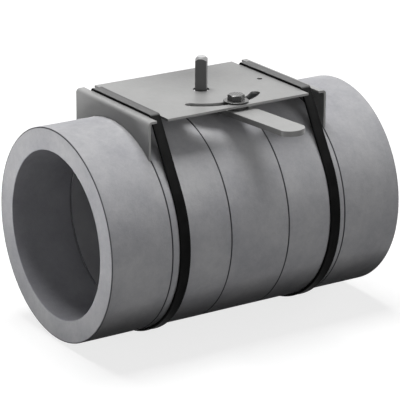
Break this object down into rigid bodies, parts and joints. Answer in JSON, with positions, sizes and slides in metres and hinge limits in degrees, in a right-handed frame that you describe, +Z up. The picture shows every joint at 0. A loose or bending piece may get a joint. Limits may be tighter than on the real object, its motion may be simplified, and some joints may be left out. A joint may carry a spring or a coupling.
{
  "type": "stove pipe damper",
  "caption": "Insulated round pipe damper: foam-clad duct section with a strapped-on sheet bracket, square shaft, hand lever in an arc slot and an inner butterfly blade.",
  "frame": {"origin": "where the centre line of the duct crosses the shaft's axis", "axes": "+X along the duct, towards the end with the actuator's pin hole; +Z up along the shaft; the lever points to -Y"},
  "size_m": [0.3, 0.2296, 0.2356],
  "materials": {
    "foam": "closed-cell foam, matt",
    "galvanised_sheet": "satin zinc coating",
    "lever_steel": "satin, edges slightly rounded",
    "bar_steel": "drawn bar, satin",
    "zinc_steel": "zinc plated",
    "rivet_metal": "satin",
    "strap_plastic": "matt black",
    "bearing_plastic": "moulded",
    "seal_rubber": "matt"
  },
  "bodies": {
    "housing": {"left_sleeve": "foam", "left_ring": "foam", "centre_ring": "foam", "right_ring": "foam", "right_sleeve": "foam", "casing_tube": "galvanised_sheet", "upper_bearing": "bearing_plastic", "lower_bearing": "bearing_plastic", "bearing_rivets": "rivet_metal", "bracket": "galvanised_sheet", "left_strap": "strap_plastic", "right_strap": "strap_plastic"},
    "blade": {"shaft": "bar_steel", "upper_journal": "bar_steel", "lower_journal": "bar_steel", "lever": "lever_steel", "lever_spacer": "zinc_steel", "lock_washer": "zinc_steel", "near_disc": "galvanised_sheet", "blade_seal": "seal_rubber", "far_disc": "galvanised_sheet", "blade_rivets": "rivet_metal", "upper_saddle": "galvanised_sheet", "lower_saddle": "galvanised_sheet", "clamp_screws": "zinc_steel", "clamp_nuts": "zinc_steel"},
    "lock_screw": {"lock_screw": "zinc_steel"}
  },
  "joints": [
    {"name": "blade_turn", "type": "hinge", "parent": "housing", "child": "blade", "pos_m": [0, 0, 0], "axis": [0, 0, 1], "range_deg": [-50.2, 39.8]},
    {"name": "lock_screw_turn", "type": "hinge", "parent": "blade", "child": "lock_screw", "pos_m": [0.00438, -0.0481, 0.1], "axis": [0, 0, 1], "range_deg": [0, 180]}
  ]
}
